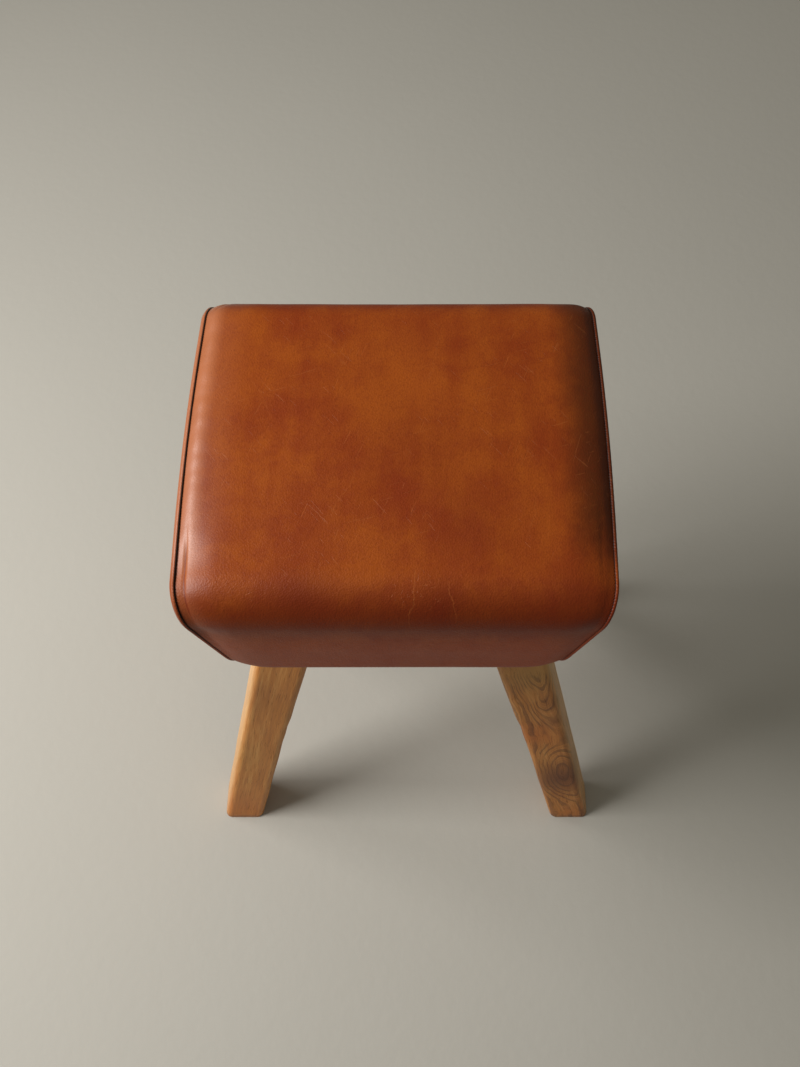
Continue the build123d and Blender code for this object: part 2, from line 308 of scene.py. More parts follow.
def eased(value, low, high):
    """0 at low, 1 at high and a soft step between them."""
    share = held((value - low) / (high - low))
    return share * share * (3 - 2 * share)


def soft_spot(distance, reach):
    """1 in the middle of a spot, fading softly over its reach."""
    return math.exp(-((distance / reach) ** 2))


def merged_copy(node):
    """The node's own mesh with its loose triangles joined."""
    form = bmesh.new()
    form.from_mesh(nodes[node].data)
    bmesh.ops.remove_doubles(form, verts=form.verts, dist=merge_distance)
    return form


def cut_in_strips(form, cuts):
    """Cut the form across at each (axis, level), so that its skin can be shaped finely."""
    for axis, level in cuts:
        place, normal = Vector((0, 0, 0)), Vector((0, 0, 0))
        place[axis], normal[axis] = level, 1
        everything = form.verts[:] + form.edges[:] + form.faces[:]
        bmesh.ops.bisect_plane(form, geom=everything, dist=merge_distance, plane_co=place, plane_no=normal)


def shape_leg(leg, side, end):
    """The sawn blank, slimmed by hand towards the foot, with a nick under the knee and uneven faces."""
    blank = merged_copy(leg)
    low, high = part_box(leg)
    cut_in_strips(blank, [
        (axis, low[axis] + step * k)
        for axis, step in enumerate(cut_steps)
        for k in range(1, int((high[axis] - low[axis]) / step) + 1)
    ])
    blank.normal_update()
    moves = {}
    for vert in blank.verts:
        x, y, z = vert.co
        # 0 on the outer side and 1 on the inner side, which takes all the slimming
        inner = held((foot_outer - math.tan(leg_lean_x) * z - side * x) / foot_width)
        slim = foot_slimming * max(0, 1 - z / knee_height) * inner
        nick = nick_depth * soft_spot(z - knee_height + nick_drop, nick_reach) * inner ** 4
        wave = Vector((x * waves_across + side, y * waves_across + end, z * waves_along))
        uneven = noise.noise(wave) * unevenness * eased(z, *uneven_from) * (1 - eased(z, *uneven_until))
        moves[vert] = Vector((side * (slim + nick), 0, 0)) + vert.normal * uneven
    for vert, move in moves.items():
        vert.co += move
    bmesh.ops.recalc_face_normals(blank, faces=blank.faces)
    return blank


def growth_rings(wood, bent, side, end, heart, knots):
    """How far each point is from the board's heart, with the rings pushed apart round the knots."""
    across, deep, high = wood.split(bent)
    aside, behind = across - heart[0], deep - heart[1]
    rings = (aside * aside + behind * behind) ** 0.5 + high * ring_taper
    upright_turn = Matrix.Rotation(side * leg_lean_x, 3, "Y") @ Matrix.Rotation(-end * leg_lean_y, 3, "X")
    for knot, far, tall, push in knots:
        squat = wood.stretched(bent, (1, 1, 1 / tall))
        # The knot's own place, turned and made squat as the pattern is
        spot = upright_turn @ Vector(knot)
        spot.z /= tall
        rings = rings + (1 - wood.far_from(squat, spot).between(0.0, far)) * push
    return rings


def oiled_wood(name, side, end, heart, ring_width, swirl, figure, knots, patches):
    """Figured hardwood under oil. Along the leg the pattern follows its splay."""
    wood = Finish(name, roughness=0.42, Specular_IOR_Level=0.4)
    upright = wood.stretched(wood.place, (1, 1, 1), (-end * leg_lean_y, side * leg_lean_x, 0))
    cloud = {"Vector": wood.stretched(upright, (1, 1, 0.6)), "Scale": bend_scale, "Detail": 3.0}
    slow = wood.node("ShaderNodeTexNoise", {}, cloud, "Color")
    centred = {"Vector": slow, "Vector_001": (0.5, 0.5, 0.5)}
    offset = wood.node("ShaderNodeVectorMath", {"operation": "SUBTRACT"}, centred)
    bend = {"Vector": offset, "Vector_001": (swirl * 4, swirl * 4, swirl * 2), "Vector_002": upright}
    bent = wood.node("ShaderNodeVectorMath", {"operation": "MULTIPLY_ADD"}, bend, "Vector")

    rings = growth_rings(wood, bent, side, end, heart, knots)
    wander = wood.noise(bent, wander_scale, 4, 0.6)
    band = (rings * (2 * math.pi / ring_width) + wander * 5).sine() * 0.5 + 0.5
    fine_band = (rings * (2 * math.pi * fine_rings / ring_width) + wander * 8).sine() * 0.5 + 0.5
    fibre = wood.noise(wood.stretched(bent, (1, 1, 0.045)), fibre_scale, 5, 0.6)
    streak = wood.noise(wood.stretched(bent, (1, 1, 0.03)), streak_scale, 4, 0.55)
    pores = wood.noise(wood.stretched(bent, (1, 1, 0.06)), pore_scale, 2, 0.5).between(0.58, 0.72)

    stops = ((0.20, leg_dark), (0.5, leg_mid), (0.82, leg_pale))
    tone = wood.node(
        "ShaderNodeValToRGB", {"stops": stops}, {"Fac": streak * 0.55 + fibre * 0.60 - 0.07}, "Color"
    )
    for centre, far, share, patch_colour in patches:
        reach = wood.far_from(wood.place, centre) + wander * 0.02
        tone = wood.blend((1 - reach.between(far * 0.2, far + 0.012)) * share, tone, patch_colour)
    vein = band.between(0.50, 1.0) * 0.7 + fine_band.between(0.6, 1.0) * 0.3
    vein = vein * wood.noise(bent, vein_scale, 3).between(0.34, 0.56)
    colour = wood.blend(vein * figure, tone, leg_vein)
    colour = wood.blend(pores * 0.34, colour, leg_vein)
    outward = wood.split(upright)[0]
    # The outer edges are painted pale: partly wear, partly a painted highlight
    edge = (outward * side + fibre * 0.004).between(pale_edge_from, pale_edge_to)
    colour = wood.blend(edge * 0.62, colour, leg_wear_and_highlight)
    relief = fibre * 0.5 - pores * 0.8 - vein * 0.25
    wood.show(colour, 0.36 + fibre * 0.16 + pores * 0.15, relief, 0.0004, 0.7)
    return wood


for leg, board in leg_boards.items():
    wood = oiled_wood(leg.replace("leg", "wood"), *board)
    add_piece(leg + "_shaped", shape_leg(leg, *board[:2]), wood, leg, slot="leg_wood", smooth_up_to=40)


# The wooden core
# Two plywood boards with softwood rails on edge between them, glued and screwed into a stiff box.
# Triangular blocks are glued into the corners.
core_pale = linear(205, 176, 130)
core_dark = linear(164, 124, 80)


def paint(node, finish):
    """Give the node's own mesh that finish."""
    nodes[node].data.materials.clear()
    nodes[node].data.materials.append(finish.material)


def plain_wood(name, grain):
    """Plain wood whose grain runs along the axis with the small share."""
    wood = Finish(name, roughness=0.7)
    fibre = wood.noise(wood.stretched(wood.place, grain), 260, 5, 0.6)
    streak = wood.noise(wood.stretched(wood.place, grain), 45, 3)
    colour = wood.blend(streak.between(0.35, 0.7), core_pale, core_dark)
    wood.show(colour, fibre * 0.2 + 0.6, fibre, 0.0003)
    return wood


along_x = plain_wood("core_wood_along_x", (0.06, 1, 1))
along_y = plain_wood("core_wood_along_y", (1, 0.06, 1))
upright_wood = plain_wood("core_wood_upright", (1, 1, 0.06))
for node in ("base_board", "top_board", "front_rail", "back_rail"):
    paint(node, along_x)
for node in ("left_rail", "right_rail"):
    paint(node, along_y)
paint("glue_blocks", upright_wood)


# Screws and leg fasteners
# Zinc-plated steel screws, bolts and washers, and brass inserts screwed into the legs.
# They hold the core together and the legs to it.
def bright_metal(name, colour, roughness):
    """Bare or plated metal with faint wear."""
    metal = Finish(name, roughness=roughness, Metallic=1.0, Base_Color=colour)
    wear = metal.noise(metal.place, 900, 3)
    metal.show(None, wear * 0.2 + (roughness - 0.1), wear, 0.00005)
    return metal


zinc = bright_metal("zinc_plate", linear(178, 180, 184), 0.34)
for node in ("core_screws", "leg_bolts", "bolt_washers"):
    paint(node, zinc)
paint("leg_inserts", bright_metal("brass", linear(206, 168, 92), 0.32))


# The padding
# Polyurethane foam cut with a knife, glued round the core: a thick seat block and four side pads.
# Its cut faces show small open cells.
seat_height, seam_half_length, end_drop = 0.650, 0.2055, 0.010
foam_pale, foam_dark = linear(232, 219, 178), linear(214, 196, 148)
# The padding has settled at the two front corners beside the seam: how deep on each side, and
# over which distances from the seam, from the middle towards the front and above the floor
slump_depths = {-1: 0.0028, 1: 0.0016}
valley_near, valley_far = (0, 0.011), (0.009, 0.042)
slump_forward, slump_upward = (0.080, 0.150), (0.530, 0.600)
# How far the seam leans in for each metre down
seam_slope = 0.36
# The foam settles a little more than the leather over it, so that a crease has room
settle_share = 1.7
# Fine strips of foam at the front corners: where they start, how wide each is and how many there are
strips_across, strips_forward, strips_upward = (0.150, 0.0035, 16), (0.080, 0.008, 14), (0.530, 0.010, 12)
# The core's front and top and the middle of the front shoulder's round, and the depths of foam over
# which the settling fades out on top, in front and at the shoulder
core_front, core_top = 0.150, 0.586
shoulder_y, shoulder_z = 0.145, 0.606
fade_on_top, fade_in_front, fade_at_shoulder = 0.055, 0.033, 0.041


def slump(x, y, z):
    """How far the padding has settled there, in metres."""
    from_seam = max(0, seam_half_length - abs(x) - seam_slope * max(0, seat_height - end_drop - z))
    valley = eased(from_seam, *valley_near) * (1 - eased(from_seam, *valley_far))
    return slump_depths[-1 if x < 0 else 1] * valley * eased(-y, *slump_forward) * eased(z, *slump_upward)


def levels(start, step, count):
    """Evenly spaced levels, beginning at start."""
    return [start + step * k for k in range(count)]


def settle(block):
    """Cut the block into fine strips at its front corners and press its skin down there."""
    cuts = [(0, side * level) for side in (-1, 1) for level in levels(*strips_across)]
    cuts += [(1, -level) for level in levels(*strips_forward)]
    cuts += [(2, level) for level in levels(*strips_upward)]
    cut_in_strips(block, cuts)
    for vert in block.verts:
        x, y, z = vert.co
        shoulder = Vector((0, min(0, y + shoulder_y), max(0, z - shoulder_z)))
        if y > -shoulder_y:
            inward, weight = Vector((0, 0, -1)), (z - core_top) / fade_on_top
        elif z < shoulder_z:
            inward, weight = Vector((0, 1, 0)), (-y - core_front) / fade_in_front
        else:
            inward, weight = -shoulder.normalized(), shoulder.length / fade_at_shoulder
        vert.co += inward * slump(x, y, z) * settle_share * held(weight)


foam = Finish("open_cell_foam", roughness=0.95)
cells = foam.node("ShaderNodeTexVoronoi", {}, {"Vector": foam.place, "Scale": 700.0}, "Distance")
foam.show(foam.blend(foam.noise(foam.place, 18, 3), foam_pale, foam_dark), None, cells, 0.0006)
for pad in ("seat_foam", "front_foam", "back_foam", "left_foam", "right_foam"):
    block = merged_copy(pad)
    if pad != "back_foam":
        settle(block)
    bmesh.ops.recalc_face_normals(block, faces=block.faces)
    add_piece(pad + "_cut", block, foam, pad, slot="foam", fill=0.9, smooth_up_to=25)


# The leather cover: main panel
# One tanned cowhide panel, hand-dyed cognac, drawn over the front, the top and the back and tacked under.
# It rolls off softly towards the two end seams, where it is sewn to the piping and the end panels.
underside, seat_depth = 0.498, 0.378
end_lean = math.radians(20)
seam_foot = seam_half_length - (seat_height - underside - end_drop) * math.tan(end_lean)
# Front and back draw in at the seam, lean in towards the bottom and swell at part of their height
end_draw_in, draw_reach = 0.0018, 0.028
face_taper = 0.004
face_bulge, bulge_reach, bulge_share, belly_radius = 0.003, 0.030, 0.45, 0.35
crown, crown_share, crown_radius = 0.0062, 0.75, 1.9
# The rounds at the front and back edges, away from the seam and at the seam
top_radius, bottom_radius = 0.044, 0.020
seam_top_radius, seam_bottom_radius, seam_reach = 0.034, 0.041, 0.045
# The roll that drops to the seam, and the broad crown beside it
roll_slope, roll_width, roll_softness, crown_reach = 0.45, 0.0110, 0.0030, 0.056
# The opening under the seat. At the corners the turned edge reaches further in, up to the end panel's flap
opening_half_depth, corner_reach_in, corner_fade = 0.140, 0.0138, (0.037, 0.055)
leather_thickness = 0.002
# The gap at the seam, and the hide's last strip, from this share of its width on, which is tucked in
seam_slot, tuck_depth, tuck_start = 0.0018, 0.0050, 0.985
# How the stuffing swells the hide: height and waves to the metre of the broad, the small and the
# gathered waves, and where beside the seam the hide gathers
broad_swell, broad_waves = 0.0007, 9
small_swell, small_waves = 0.00022, 26
gather_swell, gather_waves, gather_place, gather_reach = 0.0005, 75, 0.016, 0.012
# The hide lies flat this far above the underside, and the waves grow over the next stretch
still_height, swell_fade = 0.004, 0.03
# Folds beside the seams, a long crease at the front left, a short fold at the back left corner and a
# shallow dip at the front right. Each has a side, a depth, a distance from the seam, a width, a slant,
# its middle and half its length from front to back, and the heights between which it fades in.
folds = (
    (-1, 0.0011, 0.0115, 0.0018, 0.0, -0.140, 0.030, (0.590, 0.620)),
    (-1, 0.0010, 0.0175, 0.0025, 0.5, 0.172, 0.010, (0.498, 0.502)),
    (1, 0.0006, 0.0150, 0.0035, 0.0, -0.120, 0.045, (0.498, 0.502)),
)
# Half the stretch of a line over which its direction is taken
look_step = 0.001


def rounded_line(corners, radii, arc_steps=24):
    """Points along a line through the corners, each inner one rounded with an arc."""
    line = [corners[0]]
    for before, corner, after, radius in zip(corners, corners[1:], corners[2:], radii):
        back = (before - corner) / np.linalg.norm(before - corner)
        on = (after - corner) / np.linalg.norm(after - corner)
        half = math.acos(held(float(back @ on), -1, 1)) / 2
        reach, weight = radius / math.tan(half), math.sin(half)
        start, stop = corner + back * reach, corner + on * reach
        for k in range(arc_steps + 1):
            t = k / arc_steps
            shares = (1 - t) ** 2, 2 * weight * t * (1 - t), t * t
            line.append((shares[0] * start + shares[1] * corner + shares[2] * stop) / sum(shares))
    line.append(corners[-1])
    return np.array(line)


def side_line(place, distance, closed=False):
    """The seat's outline across the seat, that far from the seam, in its leaning plane.

    Towards the seam the top drops in a broad crown with a tight roll, and front and back draw in softly.
    """
    roll = roll_slope * roll_softness * math.log1p(math.exp((roll_width - distance) / roll_softness))
    crown_drop = (end_drop - roll_slope * roll_width) * max(0, 1 - distance / crown_reach) ** 2
    top = (seat_height - underside - roll - crown_drop) / math.cos(end_lean * place)
    half_top = seat_depth / 2 - end_draw_in * max(0, 1 - distance / draw_reach) ** 2
    half_bottom = half_top - face_taper
    stuffed = min(1, distance / bulge_reach)
    belly = half_top - face_taper / 2 + face_bulge * stuffed * (2 - stuffed)
    corner_edge = opening_half_depth - corner_reach_in * (1 - eased(distance, *corner_fade))
    start = 0 if closed else corner_edge
    corners = [
        (-start, 0), (-half_bottom, 0), (-belly, top * bulge_share), (-half_top, top - crown),
        (0, top + crown * crown_share),
        (half_top, top - crown), (belly, top * bulge_share), (half_bottom, 0), (start, 0),
    ]
    near = max(0, 1 - distance / seam_reach) ** 2
    low = bottom_radius + (seam_bottom_radius - bottom_radius) * near
    high = top_radius + (seam_top_radius - top_radius) * near
    radii = (low, belly_radius, high, crown_radius, high, belly_radius, low)
    return rounded_line([np.array(c, float) for c in corners], radii)


def measured(line):
    """Distance along the line at each of its points."""
    return np.concatenate([[0], np.cumsum(np.linalg.norm(np.diff(line, axis=0), axis=1))])


def point_at(along, line, length):
    """The line's point that far along it."""
    return np.interp(along, length, line[:, 0]), np.interp(along, length, line[:, 1])


def outward_at(along, line, length):
    """The direction that points out of the seat there, in the leaning plane."""
    before = point_at(along - look_step, line, length)
    after = point_at(along + look_step, line, length)
    run = Vector((after[0] - before[0], after[1] - before[1])).normalized()
    return Vector((-run.y, run.x))


def in_room(place, across, up, out=0.0):
    """A point of the leaning plane at that place, as a point in the room."""
    lean = end_lean * place
    return Vector((
        seam_foot * place + up * math.sin(lean) + out * math.cos(lean),
        across,
        underside + up * math.cos(lean) - out * math.sin(lean),
    ))


def new_grid(columns, rows):
    """A flat grid and its texture layer."""
    form = bmesh.new()
    bmesh.ops.create_grid(form, x_segments=columns, y_segments=rows, size=1, calc_uvs=True)
    return form, form.loops.layers.uv.verify()


def lay_texture(form, layer, where):
    """Write each point's distance from the seat's middle and along the hide into the texture layer."""
    for face in form.faces:
        for loop in face.loops:
            loop[layer].uv = where[loop.vert]


def hand_moves(x, y, z, from_seam, side):
    """How far the hand-stuffed leather stands above (or below) its even shape there, in metres."""
    broad = noise.noise(Vector((x * broad_waves, y * broad_waves, z * broad_waves + 4))) * broad_swell
    small = noise.noise(Vector((x * small_waves + 7, y * small_waves, z * small_waves))) * small_swell
    gather = noise.noise(Vector((side * 3, y * gather_waves, z * gather_waves))) * gather_swell
    move = broad + small + gather * soft_spot(from_seam - gather_place, gather_reach) - slump(x, y, z)
    for fold_side, depth, place, width, slant, middle, half_length, heights in folds:
        if fold_side == side:
            aside = from_seam - place - (y - middle) * slant
            move -= depth * soft_spot(aside, width) * soft_spot(y - middle, half_length) * eased(z, *heights)
    return move


def lay_hide(columns, rows):
    """A flat hide as a grid, wrapped over the seat from the front opening edge to the back one."""
    hide, layer = new_grid(columns, rows)
    lines = {}
    where = {}
    for vert in hide.verts:
        key = round(vert.co.x, 5)
        if key not in lines:
            side = 1 if key > 0 else -1
            spread = min(1, abs(key) / tuck_start)
            tuck = max(0, (abs(key) - tuck_start) / (1 - tuck_start))
            distance = seam_half_length * (1 - spread) ** 2 + seam_slot
            place = side * (1 - distance / seam_half_length) if key else 0
            line = side_line(place, distance - seam_slot)
            lines[key] = (place, distance, side, tuck, line, measured(line))
        place, distance, side, tuck, line, length = lines[key]
        along = (vert.co.y * 0.5 + 0.5) * length[-1]
        across, up = point_at(along, line, length)
        outward = outward_at(along, line, length)
        spot = in_room(place, across, up)
        above = held((spot.z - underside - still_height) / swell_fade)
        move = hand_moves(spot.x, spot.y, spot.z, distance, side) * above - tuck * tuck_depth
        vert.co = in_room(place, across + outward.x * move, up + outward.y * move)
        where[vert] = (place * seam_half_length, along)
    lay_texture(hide, layer, where)
    hide.normal_update()
    return hide


cognac = linear(131, 53, 9)
cognac_amber = linear(150, 71, 14)
cognac_red = linear(124, 44, 8)
cognac_dark = linear(98, 27, 3)
olive_dye_and_shade = linear(70, 30, 4)
painted_front_light = linear(166, 64, 3)
worn_edge = linear(180, 104, 50)
sheen_pink = linear(190, 120, 78)
seam_shade = linear(26, 10, 4)
# Patches where the dye took deeper or was rubbed paler: centre, reach, share, and 1 for deep or 0 for pale
dye_patches = (
    ((-0.085, -0.178, 0.640), 0.050, 0.85, 1),
    ((0.045, -0.180, 0.640), 0.040, 0.65, 1),
    ((0.165, -0.165, 0.640), 0.040, 0.60, 1),
    ((0.020, -0.020, 0.650), 0.085, 0.25, 1),
    ((0.070, -0.100, 0.650), 0.060, 0.35, 1),
    ((-0.180, 0.060, 0.645), 0.070, 0.75, 0),
    ((-0.165, 0.150, 0.640), 0.060, 0.75, 0),
    ((-0.010, 0.110, 0.650), 0.070, 0.55, 0),
    ((-0.020, 0.030, 0.650), 0.050, 0.45, 0),
    ((0.130, -0.090, 0.650), 0.060, 0.55, 0),
    ((-0.060, -0.110, 0.650), 0.060, 0.35, 0),
    ((0.060, -0.150, 0.645), 0.040, 0.45, 0),
)
# Hairline scratches run three ways: turn, scale, and how rare they are
hairlines = ((0.35, 430, 0.675), (-0.7, 520, 0.68), (1.25, 480, 0.68))
# Long scratches and veins on top: where each starts, its two ends from front to back, its slant and strength
long_marks = (
    (0.014, -0.188, -0.142, 0.08, 0.26),
    (0.054, -0.186, -0.152, -0.16, 0.20),
    (0.120, -0.120, -0.060, 0.30, 0.12),
    (-0.120, 0.020, 0.070, -0.55, 0.14),
    (0.030, 0.060, 0.130, 0.22, 0.10),
    (-0.060, -0.090, -0.030, 0.45, 0.12),
)
mark_half_width = 0.0008
stitch_step, pucker_step = 0.003, 0.0016
# Bands beside a seam, by their distance from the seat's middle along the hide
polish_band, sheen_band, pucker_band = (0.140, 0.192), (0.176, 0.194), (0.186, 0.196)
crease_inner, crease_outer = (0.1925, 0.1938), (0.1942, 0.1955)
stitch_band, stitch_dye_band, seam_band = (0.2000, 0.2020), (0.2008, 0.2028), (0.2026, 0.2037)
cloud_scale, mottle_scale, speck_scale, streak_across = 8, 30, 420, 55
pebble_scale, wrinkle_scale = 640.0, 170


def cognac_leather(name):
    """Dyed hide, waxed and worn, with painted sheen and shade. Its seam marks follow the texture layer, the
    rest its own place.
    """
    hide = Finish(name, roughness=0.40, Specular_IOR_Level=0.22, Coat_Roughness=0.36)
    place = hide.place
    laid, along, _ = hide.split(hide.node("ShaderNodeUVMap", {}, {}))
    from_middle = abs(laid)
    across, depth, height = hide.split(place)
    forward = 0 - depth
    left_side = across.between(0.01, -0.01)
    cloud = hide.noise(place, cloud_scale, 4, 0.55)
    mottle = hide.noise(place, mottle_scale, 5, 0.62, 0.3)
    speck = hide.noise(place, speck_scale, 3, 0.6)
    streak = hide.noise(hide.stretched(place, (1, 0.12, 1)), streak_across, 4, 0.6)

    deep = (cloud * 0.9 + mottle * 0.5 + streak * 0.4).between(0.70, 1.20)
    colour = hide.blend(deep, cognac_amber, cognac_red)
    colour = hide.blend(mottle.between(0.35, 0.7) * 0.35, colour, cognac)
    for centre, reach, share, dark in dye_patches:
        ragged = hide.far_from(place, centre) + mottle * 0.05
        patch = (1 - ragged.between(reach * 0.1, reach + 0.03)) * share
        colour = hide.blend(patch, colour, cognac_dark if dark else cognac_amber)
    # The front and back shoulders and the roll at the right seam are painted darker: partly dye, partly
    # painted shade
    shoulder = (abs(depth) + mottle * 0.02).between(0.162, 0.194)
    colour = hide.blend(shoulder * height.between(0.575, 0.615) * 0.62, colour, cognac_dark)
    # The right roll's dark olive band is partly dye and partly painted shade, on the side away from the lamps
    right_roll_dye_and_shade = (across + mottle * 0.016).between(0.158, 0.196)
    right_roll_dye_and_shade = right_roll_dye_and_shade * (depth + mottle * 0.06).between(-0.13, -0.06)
    colour = hide.blend(right_roll_dye_and_shade * 0.85, colour, olive_dye_and_shade)
    # The front face is painted a brighter, redder tone: painted light, as bounced from the floor in front
    front_painted_light = forward.between(0.176, 0.187) * (1 - height.between(0.56, 0.61))
    colour = hide.blend(front_painted_light * 0.6, colour, painted_front_light)
    colour = hide.blend(speck.between(0.42, 0.78) * 0.34, colour, cognac_dark)

    # Hairline scratches are gathered in worn places, and a few long marks cross the top
    scratch = 0
    for turn, scale, low in hairlines:
        field = hide.noise(hide.stretched(place, (1, 0.05, 1), (0, 0, turn)), scale, 2, 0.5)
        scratch = scratch + field.between(low, low + 0.035)
    scratch = scratch * hide.noise(place, 16, 2).between(0.42, 0.62) * height.between(0.622, 0.638)
    colour = hide.blend(scratch * 0.17, colour, worn_edge)
    for start, front, back, slant, share in long_marks:
        aside = across - start - (depth - front) * slant + (mottle - 0.5) * 0.022
        mark = 1 - abs(aside).between(0.0001, mark_half_width)
        mark = mark * depth.between(front - 0.004, front + 0.006) * (1 - depth.between(back - 0.012, back))
        colour = hide.blend(mark * height.between(0.60, 0.615) * share, colour, worn_edge)

    # The left roll gets a painted sheen, the rolls pucker finely and the seam gets painted shade
    left_roll_sheen = from_middle.between(*sheen_band) * left_side * (1 - forward.between(0.125, 0.165) * 0.75)
    left_roll_sheen = left_roll_sheen * (0.75 + mottle * 0.5) * height.between(0.585, 0.625)
    colour = hide.blend(left_roll_sheen * 0.50, colour, sheen_pink)
    # A long crease runs beside the left seam over the front shoulder, its furrow painted dark as painted
    # shade
    crease_shade = from_middle.between(*crease_inner) * (1 - from_middle.between(*crease_outer)) * left_side
    crease_shade = crease_shade * (1 - (depth + mottle * 0.02).between(-0.125, -0.100)) * height.between(0.610, 0.630)
    colour = hide.blend(crease_shade * 0.75, colour, cognac_dark)
    near_seam = from_middle.between(*pucker_band)
    puckers = (along * (2 * math.pi / pucker_step) + mottle * 9).sine() * near_seam
    puckers = puckers * hide.noise(place, 20, 2).between(0.45, 0.6)
    stitches = (along * (2 * math.pi / stitch_step)).sine() * from_middle.between(*stitch_band)
    colour = hide.blend((puckers + 1) * 0.5 * near_seam * 0.18, colour, cognac_dark)
    stitch_dye = (stitches + 1) * 0.5 * from_middle.between(*stitch_dye_band)
    colour = hide.blend(stitch_dye * 0.55, colour, cognac_dark)
    # The seam's slot is painted near black: painted shade
    colour = hide.blend(from_middle.between(*seam_band), colour, seam_shade)

    # The grain, and the wax that shines on the left roll
    cells = {"Vector": place, "Scale": pebble_scale, "Smoothness": 0.5}
    pebble = hide.node("ShaderNodeTexVoronoi", {"feature": "SMOOTH_F1"}, cells, "Distance")
    wrinkle = hide.noise(hide.stretched(place, (1, 0.35, 1), (0, 0, 0.7)), wrinkle_scale, 4, 0.65)
    grain = pebble * 0.75 + speck * 0.4 + wrinkle * 0.9 - scratch * 0.35 + puckers * 0.35 + stitches * 0.7
    polish = from_middle.between(*polish_band) * left_side * (1 - crease_shade * 0.8)
    polish = polish * (1 - forward.between(0.128, 0.160) * 0.85) * (0.8 + mottle * 0.4) + 0.02
    hide.show(colour, 0.34 + wrinkle * 0.12 + mottle * 0.10, grain, 0.00045, 0.6, polish)
    return hide


def thicken(piece, thickness):
    """Give the piece's skin that thickness, inwards."""
    wall = piece.modifiers.new("thickness", "SOLIDIFY")
    wall.thickness, wall.offset = thickness, -1


hide_finish = cognac_leather("cognac_hide")
main_panel = add_piece(
    "main_hide", lay_hide(190, 250), hide_finish, "leather_main_panel", slot="seat_leather", fill=0.95
)
thicken(main_panel, leather_thickness)


# The two end panels
# The same hide, cut to the seat's end outline and stuffed so that it bulges a little between its seams.
# Each is sewn to the main panel all round and turned under at the bottom.
end_bulges = {-1: 0.0074, 1: 0.0100}
end_rim, bulge_power = 0.0016, 5
end_swell, end_waves = 0.0009, 14
# The end panels are pared thinner than the main panel by this much
end_paring = 0.0004
# The outer rings of the panel are tucked in at the seam
end_reach, tuck_ring, end_tuck = 0.996, 0.97, 0.004
# Their distances from the middle in the texture layer; the tucked rim reaches the seam's band of painted
# shade
end_laid, tuck_laid = 0.199, 0.006
# The flap that turns under the seat, and the notches that clear the legs
flap_foot, flap_half_depth, flap_seam_gap, flap_rise = 0.1288, 0.1257, 0.001, 0.0004
leg_notch_x, leg_notch_y = 0.1379, (0.0409, 0.0989)
# A point this far out of the square's middle is on its rim
rim = 1 - 1e-6


def round_the_square(a, b):
    """The way round a square's rim: bottom middle, front bottom, front top, back top, back bottom, 0 to 5."""
    if b <= -rim and a <= 0:
        return -a
    if a <= -rim:
        return 1 + (b + 1) / 2
    if b >= rim:
        return 2 + (a + 1) / 2
    if a >= rim:
        return 3 + (1 - b) / 2
    return 4 + (1 - a)


def turned_flap(panel, side):
    """The flap that turns under the seat, cut out round the legs."""
    flap = bmesh.ops.create_grid(panel, x_segments=20, y_segments=120, size=1)["verts"]
    for vert in flap:
        across = flap_foot + (seam_foot - flap_seam_gap - flap_foot) * (vert.co.x * 0.5 + 0.5)
        vert.co = (side * across, vert.co.y * flap_half_depth, underside + flap_rise)
    flap_faces = {face for vert in flap for face in vert.link_faces}
    cut_out = [
        face for face in flap_faces
        if abs(face.calc_center_median().x) < leg_notch_x
        and leg_notch_y[0] < abs(face.calc_center_median().y) < leg_notch_y[1]
    ]
    bmesh.ops.delete(panel, geom=cut_out, context="FACES")
    bmesh.ops.reverse_faces(panel, faces=[face for face in flap_faces if face.is_valid and face.normal.z > 0])


def stuffed_end(side, segments):
    """An end panel: a square grid drawn out to the seam's outline and domed, with its flap."""
    panel, layer = new_grid(segments, segments)
    where = {}
    line = side_line(1, 0, closed=True)
    length = measured(line)
    diagonals = ((-1, -1), (-1, 1), (1, 1), (1, -1))
    corners = [length[np.argmax(a * line[:, 0] + b * line[:, 1])] for a, b in diagonals]
    turns = [0, *corners, length[-1]]
    middle = np.array((0, line[:, 1].max() * 0.5))
    for vert in panel.verts:
        a, b = vert.co.x, vert.co.y
        ring = max(abs(a), abs(b))
        along = np.interp(round_the_square(a / ring, b / ring), range(6), turns) if ring > 0 else 0
        edge = np.array(point_at(along, line, length))
        reach = min(1, ring / tuck_ring) * end_reach
        tuck = max(0, (ring - tuck_ring) / (1 - tuck_ring))
        where[vert] = (side * (reach * end_laid + tuck * tuck_laid), along)
        across, up = middle + (edge - middle) * reach
        dome = (end_bulges[side] - end_rim) * (1 - (reach / end_reach) ** bulge_power)
        wave = noise.noise(Vector((side * 5, across * end_waves, up * end_waves)))
        out = end_rim + dome - tuck * end_tuck + wave * end_swell * (1 - ring ** 4)
        spot = in_room(1, across, up, out)
        vert.co = (side * spot.x, spot.y, spot.z)
    lay_texture(panel, layer, where)
    if sum(face.normal.x for face in panel.faces) * side < 0:
        bmesh.ops.reverse_faces(panel, faces=panel.faces)
    turned_flap(panel, side)
    panel.normal_update()
    return panel


for name, side in (("left", -1), ("right", 1)):
    end_form = stuffed_end(side, 110)
    end_panel = add_piece(
        name + "_end_hide", end_form, hide_finish, name + "_end_panel", slot="seat_leather", fill=0.9
    )
    thicken(end_panel, leather_thickness - end_paring)


# The piping
# A thin cord wrapped in a strip of the same leather and sewn into both end seams.
# It runs up the front, over the top and down the back, and its tails turn under the seat.
piping_radius, piping_tail = 0.0019, 0.018
# How far its middle stands proud of the seam, away from the seat's outline and out of the end
piping_proud, piping_out = -0.0004, -0.0004
piping_waver, wavers = 0.05, 180
# The cord's inner side, facing the seat, falls in the seam's band of painted shade: its distances from the
# middle in the texture layer
piping_laid, inner_laid = 0.1985, 0.0055
cord_merge_distance = 0.00001


